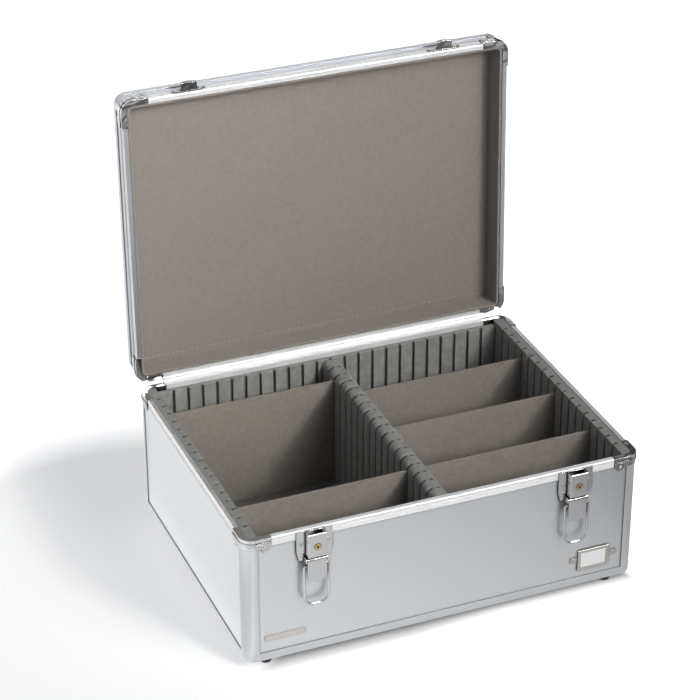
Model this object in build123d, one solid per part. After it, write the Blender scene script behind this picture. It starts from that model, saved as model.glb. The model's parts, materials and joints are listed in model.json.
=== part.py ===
from build123d import *
import math
import os

# A hinged aluminium case for coin sets, with slotted compartments, loose dividers and draw latches.
# The frame has X to the right, Y from the front to the back and Z up. The origin is the centre of the
# underside of the case, and the feet stand below it. The lid is drawn shut, and then turned open.

# Overall sizes, in millimetres
case_width = 400.0
case_depth = 298.0
body_height = 136.0
lid_height = 29.0
lid_open_angle = 92.0
corner_radius = 12.0
foot_height = 8.0
foot_radius = 5.5
foot_rounding = 1.5
foot_well_radius = 2.6
foot_well_depth = 2.5
foot_inset = 24.0
foot_front_inset = 13.0
screw_radius = 1.25
screw_gap = 0.05
screw_end_drop = 0.5
screw_head_radius = 2.3
screw_head_height = 1.5
cross_length = 2.6
cross_width = 0.6
cross_depth = 0.6
least_radius = 0.4
overshoot = 2.0

# Panels and rails
panel_thickness = 3.4
rail_lip = 0.8
seat_gap = 0.1
lid_gap = 0.3
edge_leg = 10.0
edge_flange = 14.0
base_flange = 20.0
edge_rounding = 4.0
edge_seat = 4.2
post_leg = 13.4
post_slot_start = 10.5
rim_height = 9.2
rim_crown = 3.2
rim_rounding = 1.6
groove_depth = 0.35
groove_height = 0.9
groove_levels = (4.4, 6.1, 7.8)
cap_leg = 27.0
cap_height = 10.4
cap_proud = 0.7
cap_ridge = 0.5
cap_ridge_height = 1.3
tab_radius = 3.6
tab_rivet_inset = 20.5
tab_rivet_drop = 10.0

# Rivets
rivet_shank_radius = 1.2
rivet_head_radius = 1.9
rivet_head_height = 0.8
rivet_hole_gap = 0.05

# Hinge profile along the back
hinge_offset = 3.0
bead_radius = 1.8
bead_neck = 1.2
bead_neck_angle = 45.0
socket_gap = 0.2
socket_wall = 0.9
socket_start = -5.0
socket_end = 190.0
web_rise = 0.6
web_angles = (95.0, 140.0, 176.0)

# Liners, partition and dividers
side_liner = 10.3
end_liner = 6.0
floor_liner = 3.0
liner_drop = 0.6
slot_width = 3.0
slot_depth = 5.8
slot_pitch = 15.25
side_slot_count = 17
end_slot_count = 23
end_slot_depth = 3.0
partition_thickness = 18.0
partition_drop = 5.0
partition_rounding = 6.0
partition_core = 2.4
divider_thickness = 2.4
divider_drop = 11.0
divider_play = 0.3
divider_slots = {"left": (3, 15), "right": (3, 8, 13)}
divider_rounding = 3.0

# Draw latches
latch_inset = 68.0
plate_thickness = 1.2
plate_half_width = 17.5
plate_height = 32.0
plate_low_half_width = 15.2
plate_taper = 9.0
latch_rivet_drop = 14.2
box_half_width = 9.0
box_drop = 1.2
box_height = 25.0
box_depth = 8.4
box_rounding = 0.8
recess_half_width = 6.6
recess_depth = 8.0
recess_wall = 1.6
barrel_radius = 3.0
barrel_gap = 0.08
barrel_drop = 14.7
barrel_length = 6.0
barrel_proud = 0.5
keyway_width = 1.1
keyway_length = 2.25
keyway_depth = 2.0
pivot_drop = 30.5
pivot_out = 5.5
pin_radius = 1.1
pin_gap = 0.05
lug_thickness = 0.9
lug_half_gap = 9.6
lug_radius = 2.6
tongue_half_width = 9.4
tongue_wall = 1.3
tongue_knuckle = 2.2
tongue_length = 23.0
tongue_rounding = 7.0
bail_pivot_drop = 6.0
bail_half_width = 12.0
bail_wire = 1.2
bail_length = 42.5
bail_corner = 9.0
bail_stub = 3.0
bail_stub_bend = 1.4

# Keepers on the lid
keeper_half_width = 12.0
keeper_ear = 17.5
keeper_rivet_offset = 12.4
keeper_low = 1.0
keeper_high = 8.6
hook_half_width = 8.0
hook_low = 1.7
hook_wall = 1.2
hook_reach = 7.8
hook_lip_height = 4.4
hook_arch = 3.0

# Label holder and plain strip on the front
label_inset = 44.3
label_z = 29.2
label_width = 33.0
label_height = 22.5
label_border = 3.0
label_depth = 1.6
label_back = 0.5
label_rounding = 0.5
label_tab = 24.3
label_tab_low = 1.5
label_tab_high = 4.0
label_tab_radius = 3.0
label_rivet_offset = 20.9
label_rivet_rise = 1.2
card_thickness = 0.5
card_play = 0.15
card_margin = 1.5
card_drop = 0.5
strip_inset = 38.9
strip_z = 25.3
strip_width = 39.5
strip_height = 5.2
strip_thickness = 0.6
strip_rounding = 0.8

# Lid lining and carrying handle
lining_side = 3.0
lining_panel = 2.5
lining_drop = 0.6
handle_half_length = 55.0
handle_reach = 32.0
handle_rise = 7.4
handle_arm_radius = 3.4
handle_grip_radius = 6.2
handle_grip_half = 38.0
handle_rounding = 2.0
handle_bend = 11.0
handle_pin_radius = 2.0
handle_eye_radius = 4.6
handle_eye_half = 3.6
handle_eye_gap = 0.4
bracket_half_width = 9.0
bracket_half_length = 12.0
bracket_plate = 1.2
bracket_rounding = 2.0
bracket_lug = 1.6
bracket_lug_radius = 4.6
bracket_rivet_offset = 8.5

# Levels and planes worked out from the sizes above
half_width = case_width / 2
half_depth = case_depth / 2
front = -half_depth
rail_width = 2 * rail_lip + panel_thickness + 2 * seat_gap
panel_inset = rail_lip + seat_gap
panel_back = panel_inset + panel_thickness
slot_inner = panel_back + seat_gap
floor_top = edge_seat + seat_gap
liner_floor = floor_top + seat_gap
compartment_floor = liner_floor + floor_liner
liner_top = body_height - liner_drop
lid_plane = body_height + lid_gap
lid_top = lid_plane + lid_height
hinge_y = half_depth + hinge_offset
hinge_z = body_height + lid_gap / 2
slot_places = [slot_pitch * (index - (side_slot_count - 1) / 2) for index in range(side_slot_count)]
pivot_y = front - pivot_out
pivot_z = body_height - pivot_drop
bail_pivot_z = pivot_z - bail_pivot_drop
latch_places = {"left": latch_inset - half_width, "right": half_width - latch_inset}
label_x = half_width - label_inset
strip_x = strip_inset - half_width


# Shared shapes
def cuboid(x0, x1, y0, y1, z0, z1):
    """A block between two corners."""
    size = (abs(x1 - x0), abs(y1 - y0), abs(z1 - z0))
    return Pos((x0 + x1) / 2, (y0 + y1) / 2, (z0 + z1) / 2) * Box(*size)


def rod(start, end, radius):
    """A round bar from one point to another."""
    axis = Vector(*end) - Vector(*start)
    plane = Plane(origin=start, z_dir=axis)
    return extrude(plane * Circle(radius), axis.length)


def slab(inset, z0, z1):
    """A plate with the outline of the case, set in from its sides, between two levels."""
    radius = max(corner_radius - inset, least_radius)
    outline = RectangleRounded(case_width - 2 * inset, case_depth - 2 * inset, radius)
    return Pos(0, 0, z0) * extrude(outline, z1 - z0)


def band(outer, inner, z0, z1):
    """A ring that follows the outline of the case between two insets and two levels."""
    return slab(outer, z0, z1) - slab(inner, z0, z1)


def four_corners(shape):
    """A front left shape and its mirror images at the other three corners."""
    right = mirror(shape, about=Plane.YZ)
    backs = [mirror(piece, about=Plane.XZ) for piece in (shape, right)]
    return [shape, right, *backs]


def as_group(pieces):
    """Loose pieces that share one node."""
    solids = [solid for piece in pieces for solid in piece.solids()]
    return Compound(children=solids)


def rivet(place, reach):
    """A domed rivet at a place whose Z axis points out of the surface, with a shank of a given reach."""
    shank = Pos(0, 0, -reach / 2) * Cylinder(rivet_shank_radius, reach)
    ball_radius = (rivet_head_radius ** 2 + rivet_head_height ** 2) / (2 * rivet_head_height)
    ball = Pos(0, 0, rivet_head_height - ball_radius) * Sphere(ball_radius)
    head = ball & Pos(0, 0, rivet_head_height / 2) * Cylinder(rivet_head_radius, rivet_head_height)
    return place * (shank + head)


def rivet_hole(place, reach):
    """The hole that a rivet's shank passes through."""
    depth = reach + rivet_hole_gap
    return place * Pos(0, 0, -depth / 2) * Cylinder(rivet_shank_radius + rivet_hole_gap, depth)


def drilled(shape, places, reach):
    """A shape with a rivet hole at each place."""
    for place in places:
        shape = shape - rivet_hole(place, reach)
    return shape


def facing_front(x, y, z):
    """A place on a front face, with its Z axis pointing out of the case."""
    return Location(Plane(origin=(x, y, z), x_dir=(1, 0, 0), z_dir=(0, -1, 0)))


def facing_left(x, y, z):
    """A place on the left face, with its Z axis pointing out of the case."""
    return Location(Plane(origin=(x, y, z), x_dir=(0, -1, 0), z_dir=(-1, 0, 0)))


# The tray: the body and the lid are each a tray of the same rails, drawn open upwards
def tray_edge(flange):
    """The rounded edge rail around the bottom of a tray, with a flange of a given width under it."""
    outer = slab(0, 0, edge_leg)
    bottom_edges = outer.faces().sort_by(Axis.Z)[0].edges()
    outer = fillet(bottom_edges, edge_rounding)
    outer -= slab(rail_lip, edge_seat, edge_leg)
    outer -= slab(slot_inner, rail_lip, edge_seat)
    return outer - slab(flange, 0, rail_lip)


def tray_floor(flange):
    """The panel that closes the bottom of a tray, rebated to lie flush between the rail's flanges."""
    plate = slab(slot_inner + seat_gap, rail_lip + seat_gap, edge_seat + seat_gap)
    return plate + slab(flange + seat_gap, 0, rail_lip + seat_gap)


def tray_post(height):
    """The front left corner post of a tray, slotted for the two panels that meet there."""
    top = height - rim_crown - seat_gap
    bottom = floor_top + seat_gap
    corner = cuboid(-half_width, post_leg - half_width, front, front + post_leg, bottom, top)
    post = slab(0, bottom, top) & corner
    reach = post_leg - half_width
    post -= cuboid(rail_width - half_width, reach, front + rail_width, front + post_leg, bottom, top)
    slot = (rail_lip, slot_inner)
    start = post_slot_start
    post -= cuboid(start - half_width, reach, front + slot[0], front + slot[1], bottom, top)
    post -= cuboid(slot[0] - half_width, slot[1] - half_width, front + start, front + post_leg, bottom, top)
    post -= band(-overshoot, panel_inset, bottom, edge_leg)
    post -= band(-overshoot, panel_inset, height - rim_height, top)
    return post - band(slot_inner, rail_width + overshoot, height - rim_height, top)


def long_panel(height):
    """The front panel of a tray."""
    end = half_width - post_slot_start - seat_gap
    top = height - rim_crown - seat_gap
    return cuboid(-end, end, front + panel_inset, front + panel_back, floor_top, top)


def short_panel(height):
    """The left panel of a tray."""
    end = half_depth - post_slot_start - seat_gap
    top = height - rim_crown - seat_gap
    return cuboid(panel_inset - half_width, panel_back - half_width, -end, end, floor_top, top)


def rim_rail(length):
    """A rim rail along X, with its outer face on Y = 0, its top on Z = 0 and a slot for the panel."""
    rail = cuboid(-length / 2, length / 2, 0, rail_width, -rim_height, 0)
    top_outer_edge = rail.edges().filter_by(Axis.X).group_by(Axis.Z)[-1].sort_by(Axis.Y)[0]
    rail = fillet(top_outer_edge, rim_rounding)
    rail -= cuboid(-length / 2, length / 2, rail_lip, slot_inner, -rim_height, -rim_crown)
    for level in groove_levels:
        rail -= cuboid(-length / 2, length / 2, 0, groove_depth, -level, -level + groove_height)
    return rail


def rim_rails(height):
    """The four rim rails of a tray, by name."""
    long_rail = rim_rail(case_width - 2 * cap_leg - 2 * seat_gap)
    short_rail = rim_rail(case_depth - 2 * cap_leg - 2 * seat_gap)
    return {
        "front": Pos(0, front, height) * long_rail,
        "back": Pos(0, half_depth, height) * Rot(0, 0, 180) * long_rail,
        "left": Pos(-half_width, 0, height) * Rot(0, 0, -90) * short_rail,
        "right": Pos(half_width, 0, height) * Rot(0, 0, 90) * short_rail,
    }


def corner_cap(height):
    """The pressed cap over the front left corner of a tray's rim, with a riveted tab on each leg."""
    low = height - cap_height
    ring = band(-cap_proud, rail_width, low, height)
    for level in groove_levels[:2]:
        top = height - level + cap_ridge_height / 2
        ring += band(-cap_proud - cap_ridge, 0, top - cap_ridge_height, top)
    far = overshoot
    corner = cuboid(-half_width - far, cap_leg - half_width, front - far, front + cap_leg, low, height)
    cap = ring & corner
    cap -= band(panel_inset - seat_gap, rail_width - rail_lip, low, height - rim_crown)
    cap -= band(-seat_gap / 2, rail_width + overshoot, low, height - rim_height)
    along = tab_rivet_inset
    drop = height - tab_rivet_drop
    outside = facing_front(along - half_width, front - cap_proud, drop)
    thickness = cap_proud + rail_lip
    cap += outside * Pos(0, 0, -thickness / 2) * Cylinder(tab_radius, thickness)
    outside = facing_left(-half_width - cap_proud, front + along, drop)
    return cap + outside * Pos(0, 0, -thickness / 2) * Cylinder(tab_radius, thickness)


def cap_rivet_places(height):
    """Where the front left cap's two rivets sit."""
    drop = height - tab_rivet_drop
    on_front = facing_front(tab_rivet_inset - half_width, front - cap_proud, drop)
    on_left = facing_left(-half_width - cap_proud, front + tab_rivet_inset, drop)
    return [on_front, on_left]


def cap_rivets(height):
    """The eight rivets of a tray's four corner caps."""
    reach = cap_proud + panel_back
    rivets = [rivet(place, reach) for place in cap_rivet_places(height)]
    return [piece for one in rivets for piece in four_corners(one)]


def cap_holes(height):
    """The eight holes that the corner cap rivets pass through."""
    reach = cap_proud + panel_back
    holes = [rivet_hole(place, reach) for place in cap_rivet_places(height)]
    return [piece for one in holes for piece in four_corners(one)]


def without(shape, cutters):
    """A shape less each of several cutters."""
    for cutter in cutters:
        shape = shape - cutter
    return shape


def tray(height, flange):
    """The pieces of one tray, by name, with the holes for its corner rivets."""
    holes = cap_holes(height)
    front_panel = long_panel(height)
    left_panel = short_panel(height)
    pieces = {
        "edge_rail": tray_edge(flange),
        "floor": tray_floor(flange),
        "front_panel": front_panel,
        "back_panel": mirror(front_panel, about=Plane.XZ),
        "left_panel": left_panel,
        "right_panel": mirror(left_panel, about=Plane.YZ),
        "posts": as_group(four_corners(tray_post(height))),
        "caps": as_group(four_corners(corner_cap(height))),
        "rivets": as_group(cap_rivets(height)),
    }
    for name in ("front_panel", "back_panel", "left_panel", "right_panel", "caps"):
        pieces[name] = without(pieces[name], holes)
    for side, rail in rim_rails(height).items():
        pieces[f"rim_{side}"] = rail
    return pieces


# Moving the lid: pieces are drawn shut and then turned about the hinge
def shut_lid(shape):
    """A tray piece turned upside down on the body's rim."""
    return Pos(0, 0, lid_top) * mirror(shape, about=Plane.XY)


def opened(shape):
    """A piece of the shut lid, turned about the hinge to where the open lid stands."""
    turn = Pos(0, hinge_y, hinge_z) * Rot(-lid_open_angle, 0, 0) * Pos(0, -hinge_y, -hinge_z)
    return turn * shape


# The hinge profile: a bead on the body's back rail turns in a socket on the lid's back rail
def polar(radius, angle):
    """A point of the hinge section, from the hinge axis, with the angle taken from Y towards Z."""
    turn = math.radians(angle)
    return (hinge_y + radius * math.cos(turn), hinge_z + radius * math.sin(turn))


def hinge_section(points, length):
    """A block along X with the given outline in Y and Z."""
    corners = [(0, y, z) for y, z in points]
    outline = make_face(Polyline(*corners, close=True))
    return Pos(-length / 2, 0, 0) * extrude(outline, length, dir=(1, 0, 0))


def hinge_round(radius, length):
    """A round bar along the hinge axis."""
    return rod((-length / 2, hinge_y, hinge_z), (length / 2, hinge_y, hinge_z), radius)


def hinge_bead(length):
    """The bead and its neck, which grow out of the body's back rail."""
    angle = 180 + bead_neck_angle
    reach = (hinge_offset + groove_depth) / math.cos(math.radians(bead_neck_angle))
    half = bead_neck / 2
    side = (half * math.sin(math.radians(angle)), half * math.cos(math.radians(angle)))
    near = polar(0, angle)
    far = polar(reach, angle)
    points = [
        (near[0] + side[0], near[1] - side[1]),
        (far[0] + side[0], far[1] - side[1]),
        (far[0] - side[0], far[1] + side[1]),
        (near[0] - side[0], near[1] + side[1]),
    ]
    return hinge_round(bead_radius, length) + hinge_section(points, length)


def hinge_socket(length):
    """The socket that wraps the bead, and the web that joins it to the lid's back rail."""
    inner = bead_radius + socket_gap
    outer = inner + socket_wall
    step = (360 + socket_start - socket_end) / 3
    mouth = [polar(0, 0), *(polar(2 * outer, socket_end + turns * step) for turns in range(4))]
    radii = (outer, inner, (inner + outer) / 2)
    web = [
        (half_depth - groove_depth, lid_plane + web_rise),
        (half_depth - groove_depth, lid_plane + outer),
        *(polar(radius, angle) for radius, angle in zip(radii, web_angles)),
    ]
    ring = hinge_round(outer, length) - hinge_section(mouth, length)
    return ring + hinge_section(web, length) - hinge_round(inner, length) - hinge_section(mouth, length)


# Liners, partition and dividers
def side_liner_block():
    """The slotted foam along the left wall."""
    x0 = rail_width + seat_gap - half_width
    x1 = x0 + side_liner
    end = half_depth - rail_width - seat_gap
    block = cuboid(x0, x1, -end, end, liner_floor, liner_top)
    block &= slab(rail_width + seat_gap, liner_floor, liner_top)
    for y in slot_places:
        half = slot_width / 2
        block -= cuboid(x1 - slot_depth, x1, y - half, y + half, compartment_floor, liner_top)
    return block


def end_liner_block():
    """The slotted foam along the front wall, between the two side liners."""
    y0 = front + rail_width + seat_gap
    y1 = y0 + end_liner
    end = half_width - rail_width - side_liner - 3 * seat_gap
    top = body_height - partition_drop
    block = cuboid(-end, end, y0, y1, liner_floor, top)
    half = slot_width / 2
    for index in range(end_slot_count):
        x = slot_pitch * (index - (end_slot_count - 1) / 2)
        if abs(x) + half < end:
            block -= cuboid(x - half, x + half, y1 - end_slot_depth, y1, compartment_floor, top)
    return block


def floor_liner_sheet():
    """The foam sheet on the floor, between the wall liners."""
    x = half_width - rail_width - side_liner - 3 * seat_gap
    y = half_depth - rail_width - end_liner - 3 * seat_gap
    return cuboid(-x, x, -y, y, liner_floor, compartment_floor - seat_gap)


def partition_block():
    """The foam wall between the compartments, slotted on both faces, with a tongue at each end."""
    half = partition_thickness / 2
    end = half_depth - rail_width - end_liner - 3 * seat_gap
    top = body_height - partition_drop
    block = cuboid(-half, half, -end, end, compartment_floor, top)
    top_edges = block.edges().filter_by(Axis.Y).group_by(Axis.Z)[-1]
    block = fillet(top_edges, partition_rounding)
    for y in slot_places:
        y0 = y - slot_width / 2
        y1 = y + slot_width / 2
        for side in (-1, 1):
            block -= cuboid(side * half, side * (half - slot_depth), y0, y1, compartment_floor, top)
    tongue_end = end + end_slot_depth
    core = partition_core / 2
    return block + cuboid(-core, core, -tongue_end, tongue_end, compartment_floor, top - partition_rounding)


def divider_board(side, index):
    """A loose board that drops into a pair of facing slots."""
    wall = half_width - rail_width - seat_gap - side_liner + slot_depth - divider_play
    middle = partition_thickness / 2 - slot_depth + divider_play
    x0, x1 = (-wall, -middle) if side == "left" else (middle, wall)
    y = slot_places[index]
    half = divider_thickness / 2
    bottom = compartment_floor
    board = cuboid(x0, x1, y - half, y + half, bottom, body_height - divider_drop)
    corners = board.edges().filter_by(Axis.Y).group_by(Axis.Z)[-1]
    return fillet(corners, divider_rounding)


# Draw latches
def latch_plate(x):
    """The riveted base plate with its lock box and the two lugs of the lever's pin."""
    top = body_height - box_drop / 2
    low = body_height - plate_height
    wide = plate_half_width
    narrow = plate_low_half_width
    out = front - plate_thickness
    right = [(narrow, low), (wide, low + plate_taper), (wide, top)]
    left = [(-px, pz) for px, pz in reversed(right)]
    corners = [(x + px, out, pz) for px, pz in left + right]
    face = make_face(Polyline(*corners, close=True))
    plate = extrude(face, plate_thickness + rail_lip, dir=(0, 1, 0))
    rim_low = body_height - rim_height - seat_gap
    plate -= cuboid(x - 2 * wide, x + 2 * wide, front, front + overshoot, rim_low, body_height)
    box_out = front - plate_thickness - box_depth
    box_top = body_height - box_drop
    box_low = box_top - box_height
    box = cuboid(x - box_half_width, x + box_half_width, box_out, out, box_low, box_top)
    outer_edges = box.faces().sort_by(Axis.Y)[0].edges()
    plate += fillet(outer_edges, box_rounding)
    y0 = box_out + recess_wall
    y1 = out - recess_wall / 2
    w = recess_half_width
    plate -= cuboid(x - w, x + w, y0, y1, box_top - recess_depth, body_height)
    plate -= barrel_bore(x)
    for side in (-1, 1):
        x0 = x + side * lug_half_gap
        x1 = x0 + side * lug_thickness
        lug = rod((x0, pivot_y, pivot_z), (x1, pivot_y, pivot_z), lug_radius)
        lug += cuboid(x0, x1, pivot_y, out, pivot_z - lug_radius, pivot_z + lug_radius)
        plate += lug
    return plate - rod((x - wide, pivot_y, pivot_z), (x + wide, pivot_y, pivot_z), pin_radius)


def barrel_bore(x):
    """The bore in the lock box that the barrel turns in."""
    z = body_height - barrel_drop
    y = front - plate_thickness - box_depth
    return rod((x, y - overshoot, z), (x, y + barrel_length, z), barrel_radius + barrel_gap)


def lock_barrel(x):
    """The barrel with its keyway, which a key turns."""
    z = body_height - barrel_drop
    y = front - plate_thickness - box_depth
    barrel = rod((x, y - barrel_proud, z), (x, y + barrel_length - barrel_gap, z), barrel_radius)
    half = keyway_width / 2
    deep = y + keyway_depth
    keyway = cuboid(x - half, x + half, y - barrel_proud, deep, z - keyway_length, z)
    return barrel - keyway - rod((x, y - barrel_proud, z), (x, deep, z), keyway_width)


def latch_tongue(x):
    """The lever: a knuckle on the pin, a finger plate below it and a pair of eyes for the bail."""
    half = tongue_half_width
    knuckle = rod((x - half, pivot_y, pivot_z), (x + half, pivot_y, pivot_z), tongue_knuckle)
    eyes = rod((x - half, pivot_y, bail_pivot_z), (x + half, pivot_y, bail_pivot_z), tongue_knuckle)
    y1 = pivot_y
    y0 = pivot_y - tongue_knuckle
    low = pivot_z - tongue_length
    plate = cuboid(x - half, x + half, y0, y0 + tongue_wall, low, pivot_z)
    corners = plate.edges().filter_by(Axis.Y).group_by(Axis.Z)[0]
    plate = fillet(corners, tongue_rounding)
    web = cuboid(x - half, x + half, y0, y1 + tongue_knuckle, bail_pivot_z, pivot_z)
    inner = half - bail_stub
    deep = y1 + 2 * tongue_knuckle
    hollow = cuboid(x - inner, x + inner, y0 + tongue_wall, deep, low, pivot_z - tongue_knuckle)
    tongue = knuckle + eyes + plate + web - hollow
    for z, radius in ((pivot_z, pin_radius), (bail_pivot_z, bail_wire)):
        tongue -= rod((x - half, pivot_y, z), (x + half, pivot_y, z), radius + pin_gap)
    return tongue


def latch_pin(x):
    """The pin through the lugs and the lever."""
    reach = lug_half_gap + lug_thickness
    return rod((x - reach, pivot_y, pivot_z), (x + reach, pivot_y, pivot_z), pin_radius)


def latch_bail(x):
    """The wire bail: it hangs from the lever's eyes, and turns up over the lid's hook."""
    half = bail_half_width
    low = bail_pivot_z - bail_length
    stub = tongue_half_width - bail_stub + seat_gap
    points = [
        (x - stub, pivot_y, bail_pivot_z),
        (x - half, pivot_y, bail_pivot_z),
        (x - half, pivot_y, low),
        (x + half, pivot_y, low),
        (x + half, pivot_y, bail_pivot_z),
        (x + stub, pivot_y, bail_pivot_z),
    ]
    bends = [bail_stub_bend, bail_corner, bail_corner, bail_stub_bend]
    path = FilletPolyline(*points, radius=bends)
    section = Plane(origin=points[0], z_dir=(-1, 0, 0)) * Circle(bail_wire)
    return sweep(section, path=path)


def latch_rivet_places(x):
    """The two rivets of a latch's base plate."""
    z = body_height - latch_rivet_drop
    offset = (plate_half_width + box_half_width) / 2
    return [facing_front(x + side * offset, front - plate_thickness, z) for side in (-1, 1)]


# Keepers on the lid's front, drawn on the shut lid
def keeper(x):
    """The hook plate that a bail pulls on, with a pointed ear on each side."""
    z0 = lid_plane + keeper_low
    z1 = lid_plane + keeper_high
    out = front - plate_thickness
    middle = (z0 + z1) / 2
    half = keeper_half_width
    ear = keeper_ear
    outline = [(-half, z0), (half, z0), (ear, middle), (half, z1), (-half, z1), (-ear, middle)]
    corners = [(x + px, out, pz) for px, pz in outline]
    face = make_face(Polyline(*corners, close=True))
    plate = extrude(face, plate_thickness, dir=(0, 1, 0))
    tip = out - hook_reach
    low = lid_plane + hook_low
    width = hook_half_width
    shelf = cuboid(x - width, x + width, tip, out, low, low + hook_wall)
    high = low + hook_wall + hook_lip_height
    left_end = (x - width, tip, high - hook_arch)
    right_end = (x + width, tip, high - hook_arch)
    lip_line = Polyline(left_end, (x - width, tip, low), (x + width, tip, low), right_end)
    crown = ThreePointArc(right_end, (x, tip, high), left_end)
    lip = extrude(make_face(lip_line + crown), hook_wall, dir=(0, 1, 0))
    return plate + shelf + lip


def keeper_rivet_places(x):
    """The two rivets of a keeper."""
    z = lid_plane + (keeper_low + keeper_high) / 2
    y = front - plate_thickness
    return [facing_front(x + side * keeper_rivet_offset, y, z) for side in (-1, 1)]


# Front fittings
def label_window(grow, z0, z1, y0, y1):
    """A block behind the label holder's border, grown by a margin."""
    half = label_width / 2 - label_border + grow
    return cuboid(label_x - half, label_x + half, y0, y1, z0, z1)


def label_holder():
    """The riveted frame that a name card slides into from above."""
    face = front + rail_lip
    out = face - label_depth
    low = label_z - label_height / 2
    high = label_z + label_height / 2
    half = label_width / 2
    holder = cuboid(label_x - half, label_x + half, out, face, low, high)
    outer_edges = holder.faces().sort_by(Axis.Y)[0].edges()
    holder = fillet(outer_edges, label_rounding)
    tab = (label_z - label_tab_low, label_z + label_tab_high)
    holder += cuboid(label_x - label_tab, label_x + label_tab, face - label_back, face, *tab)
    for place in label_rivet_places():
        holder += place * Pos(0, 0, -label_back / 2) * Cylinder(label_tab_radius, label_back)
    window_low = low + label_border
    window_high = high - label_border
    holder -= label_window(0, window_low, window_high, out, face - label_back)
    slot_front = face - label_back - card_thickness - card_play
    return holder - label_window(card_margin, window_low - card_margin, high, slot_front, face - label_back)


def label_card():
    """The blank white name card."""
    face = front + rail_lip
    y1 = face - label_back - card_play / 2
    low = label_z - label_height / 2 + label_border - card_margin
    high = label_z + label_height / 2 - card_drop
    grow = card_margin - card_play
    return label_window(grow, low, high, y1 - card_thickness, y1)


def label_rivet_places():
    """The two rivets of the label holder."""
    y = front + rail_lip - label_back
    z = label_z + label_rivet_rise
    return [facing_front(label_x + side * label_rivet_offset, y, z) for side in (-1, 1)]


def plain_strip():
    """The bare strip near the front's lower left corner."""
    y1 = front + panel_inset
    y0 = y1 - strip_thickness
    half = strip_width / 2
    tall = strip_height / 2
    strip = cuboid(strip_x - half, strip_x + half, y0, y1, strip_z - tall, strip_z + tall)
    return fillet(strip.edges().filter_by(Axis.Y), strip_rounding)


# Feet
def foot_places():
    """The centres of the four feet."""
    x = half_width - foot_inset
    y = half_depth - foot_front_inset
    return [(sx * x, sy * y) for sx in (-1, 1) for sy in (-1, 1)]


def foot(x, y):
    """A rubber foot with a screw hole."""
    body = Pos(x, y, -foot_height / 2) * Cylinder(foot_radius, foot_height)
    body = fillet(body.faces().sort_by(Axis.Z)[0].edges(), foot_rounding)
    well = Pos(x, y, -foot_height) * Cylinder(foot_well_radius, 2 * foot_well_depth)
    hole = Pos(x, y, -foot_height / 2) * Cylinder(screw_radius + screw_gap, foot_height)
    return body - well - hole


def foot_screw(x, y):
    """The cross-head screw that holds a foot to the edge rail and the floor panel."""
    head_top = foot_well_depth - foot_height
    head_low = head_top - screw_head_height
    head = Pos(x, y, (head_top + head_low) / 2) * Cylinder(screw_head_radius, screw_head_height)
    reach = edge_seat - screw_end_drop - head_top
    shank = Pos(x, y, head_top + reach / 2) * Cylinder(screw_radius, reach)
    bars = Box(cross_length, cross_width, 2 * cross_depth) + Box(cross_width, cross_length, 2 * cross_depth)
    return head + shank - Pos(x, y, head_low) * bars


def screw_hole(x, y):
    """The hole for a foot's screw."""
    return Pos(x, y, edge_seat / 2 - seat_gap) * Cylinder(screw_radius + screw_gap, edge_seat)


# Lid lining and handle, drawn on the shut lid
def lid_lining():
    """The fabric-covered lining of the lid: a shallow tray inside the lid's walls."""
    inset = rail_width + seat_gap
    top = lid_top - floor_top - seat_gap
    low = lid_plane + lining_drop
    shell = slab(inset, low, top)
    return shell - slab(inset + lining_side, low, top - lining_panel)


def handle_grip():
    """The swinging handle, folded flat towards the hinge."""
    z = lid_top + handle_rise
    half = handle_half_length
    points = [(-half, 0, z), (-half, handle_reach, z), (half, handle_reach, z), (half, 0, z)]
    path = FilletPolyline(*points, radius=handle_bend)
    section = Plane(origin=points[0], z_dir=(0, 1, 0)) * Circle(handle_arm_radius)
    grip = sweep(section, path=path)
    bar = rod((-handle_grip_half, handle_reach, z), (handle_grip_half, handle_reach, z), handle_grip_radius)
    ends = bar.edges().filter_by(GeomType.CIRCLE)
    grip += fillet(ends, handle_rounding)
    for side in (-1, 1):
        x0 = side * (half - handle_eye_half)
        x1 = side * (half + handle_eye_half)
        grip += rod((x0, 0, z), (x1, 0, z), handle_eye_radius)
        grip -= rod((x0, 0, z), (x1, 0, z), handle_pin_radius + pin_gap)
    return grip


def handle_bracket(side):
    """The riveted bracket at one end of the handle."""
    x = side * handle_half_length
    z = lid_top + handle_rise
    w = bracket_half_width
    length = bracket_half_length
    plate = cuboid(x - w, x + w, -length, length, lid_top, lid_top + bracket_plate)
    plate = fillet(plate.edges().filter_by(Axis.Z), bracket_rounding)
    for direction in (-1, 1):
        x0 = x + direction * (handle_eye_half + handle_eye_gap)
        x1 = x0 + direction * bracket_lug
        lug = rod((x0, 0, z), (x1, 0, z), bracket_lug_radius)
        plate += lug + cuboid(x0, x1, -bracket_lug_radius, bracket_lug_radius, lid_top, z)
    return plate - rod((x - w, 0, z), (x + w, 0, z), handle_pin_radius)


def handle_pin(side):
    """The pin that a handle's end swings on."""
    x = side * handle_half_length
    z = lid_top + handle_rise
    reach = handle_eye_half + handle_eye_gap + bracket_lug
    return rod((x - reach, 0, z), (x + reach, 0, z), handle_pin_radius)


def bracket_rivet_places(side):
    """The two rivets of a handle bracket."""
    x = side * handle_half_length
    z = lid_top + bracket_plate
    return [Location((x, direction * bracket_rivet_offset, z)) for direction in (-1, 1)]


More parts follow.
